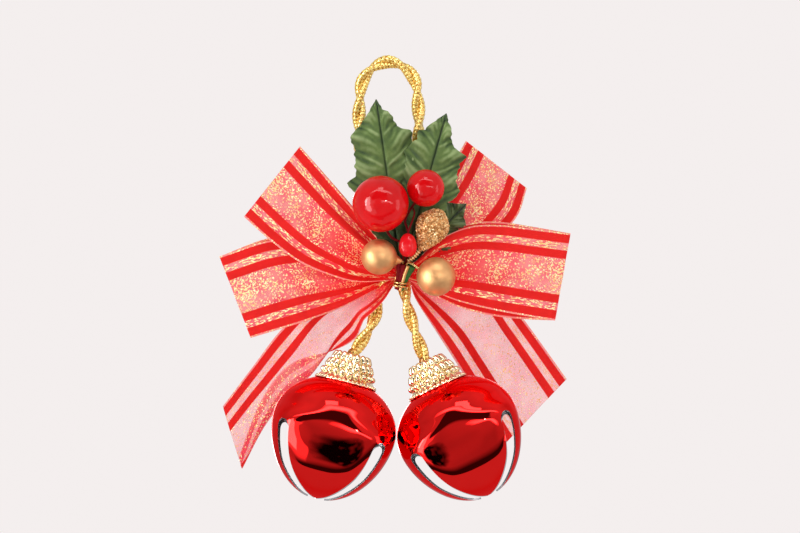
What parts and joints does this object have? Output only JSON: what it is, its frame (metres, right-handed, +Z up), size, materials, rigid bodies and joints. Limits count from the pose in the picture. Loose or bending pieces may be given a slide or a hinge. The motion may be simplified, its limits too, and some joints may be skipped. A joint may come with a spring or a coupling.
{
  "type": "christmas bell ornament",
  "caption": "Hanging ornament: jingle bells with beaded caps on twisted gold cord, under a sheer striped ribbon bow with a holly and berry pick.",
  "frame": {"origin": "hang point: the inside of the top of the cord loop, where a hook or twig bears", "axes": "+Z up, +X to the right of someone facing the bow, +Y away from them, so the berries are on the -Y side"},
  "size_m": [0.0989, 0.0475, 0.1247],
  "materials": {
    "gold_cord": "two-ply metallic braid",
    "red_lacquer": "mirror red lacquer outside, bright metal inside",
    "gold_beads": "metallised champagne gold",
    "steel_wire": "bright wire",
    "nickel_ball": "polished ball",
    "gold_wire": "thin bright wire",
    "ribbon": "sheer ribbon with satin stripes and glitter",
    "leaf_cloth": "embossed cloth",
    "red_gloss": "glossy lacquer",
    "satin_gold": "satin bronze gold",
    "gold_glitter": "coarse glitter crumbs",
    "stem_wire": "paper-wrapped wire",
    "green_tape": "floral tape"
  },
  "bodies": {
    "hanging_loop": {"hanging_loop_strand_a": "gold_cord", "hanging_loop_strand_b": "gold_cord"},
    "bow": {"big_red_berry": "red_gloss", "big_red_stem": "stem_wire", "binding_coil": "gold_wire", "bow_waist": "ribbon", "cone_pod": "gold_glitter", "cone_stem": "gold_glitter", "left_cord_root_strand_a": "gold_cord", "left_cord_root_strand_b": "gold_cord", "left_gold_berry": "satin_gold", "left_gold_stem": "stem_wire", "left_leaf": "leaf_cloth", "left_tail_root": "ribbon", "lower_left_loop": "ribbon", "lower_right_loop": "ribbon", "red_bud": "red_gloss", "red_bud_stem": "stem_wire", "right_gold_berry": "satin_gold", "right_gold_stem": "stem_wire", "right_leaf": "leaf_cloth", "right_tail_root": "ribbon", "small_leaf": "leaf_cloth", "small_red_berry": "red_gloss", "small_red_stem": "stem_wire", "stem_bundle": "green_tape", "upper_left_loop": "ribbon", "upper_right_loop": "ribbon", "waist_wire": "gold_wire"},
    "left_cord_top": {"left_cord_bend_strand_a": "gold_cord", "left_cord_bend_strand_b": "gold_cord"},
    "left_cord_end": {"left_cord_strand_a": "gold_cord", "left_cord_strand_b": "gold_cord"},
    "left_bell": {"left_bell_shell": "red_lacquer", "left_bell_cap": "gold_beads", "left_bell_shank": "steel_wire", "left_cord_knot": "gold_cord"},
    "left_ball": {"left_jingle_ball": "nickel_ball"},
    "left_tail_end": {"left_tail": "ribbon"},
    "right_cord_top": {"right_cord_bend_strand_a": "gold_cord", "right_cord_bend_strand_b": "gold_cord"},
    "right_cord_end": {"right_cord_strand_a": "gold_cord", "right_cord_strand_b": "gold_cord"},
    "right_bell": {"right_bell_shell": "red_lacquer", "right_bell_cap": "gold_beads", "right_bell_shank": "steel_wire", "right_cord_knot": "gold_cord"},
    "right_ball": {"right_jingle_ball": "nickel_ball"},
    "right_tail_end": {"right_tail": "ribbon"}
  },
  "joints": [
    {"name": "bow_fold", "type": "hinge", "parent": "hanging_loop", "child": "bow", "pos_m": [0.0034, 0, -0.054], "axis": [1, 0, 0], "range_deg": [0, 60], "stiffness_Nm_per_rad": 0.004},
    {"name": "left_cord_pitch", "type": "hinge", "parent": "bow", "child": "left_cord_top", "pos_m": [-0.004, 0, -0.07], "axis": [1, 0, 0], "range_deg": [-40, 5]},
    {"name": "left_cord_sway", "type": "hinge", "parent": "left_cord_top", "child": "left_cord_end", "pos_m": [-0.0055, 0, -0.0734], "axis": [0, 1, 0], "range_deg": [0, 25]},
    {"name": "left_bell_nod", "type": "hinge", "parent": "left_cord_end", "child": "left_bell", "pos_m": [-0.01003, 0.0006, -0.08045], "axis": [1, 0, 0], "range_deg": [-20, 5]},
    {"name": "left_ball_roll", "type": "hinge", "parent": "left_bell", "child": "left_ball", "pos_m": [-0.01721, -0.00191, -0.10822], "axis": [-0.0218, 0.9962, -0.0844], "range_deg": [-60, 60]},
    {"name": "right_cord_pitch", "type": "hinge", "parent": "bow", "child": "right_cord_top", "pos_m": [0.0044, 0, -0.0626], "axis": [1, 0, 0], "range_deg": [-40, 5]},
    {"name": "right_cord_sway", "type": "hinge", "parent": "right_cord_top", "child": "right_cord_end", "pos_m": [0.0054, 0, -0.068], "axis": [0, 1, 0], "range_deg": [-25, 0]},
    {"name": "right_bell_nod", "type": "hinge", "parent": "right_cord_end", "child": "right_bell", "pos_m": [0.01009, 0.0006, -0.0823], "axis": [1, 0, 0], "range_deg": [-20, 5]},
    {"name": "right_ball_roll", "type": "hinge", "parent": "right_bell", "child": "right_ball", "pos_m": [0.02244, -0.00191, -0.10819], "axis": [0.0375, 0.9962, -0.0787], "range_deg": [-60, 60]},
    {"name": "left_tail_lift", "type": "hinge", "parent": "bow", "child": "left_tail_end", "pos_m": [-0.0151, 0.0125, -0.07115], "axis": [0.7001, 0, -0.7141], "range_deg": [0, 60], "stiffness_Nm_per_rad": 0.0005},
    {"name": "right_tail_lift", "type": "hinge", "parent": "bow", "child": "right_tail_end", "pos_m": [0.0176, 0.0125, -0.0691], "axis": [0.6899, 0, 0.7239], "range_deg": [0, 60], "stiffness_Nm_per_rad": 0.0005}
  ]
}
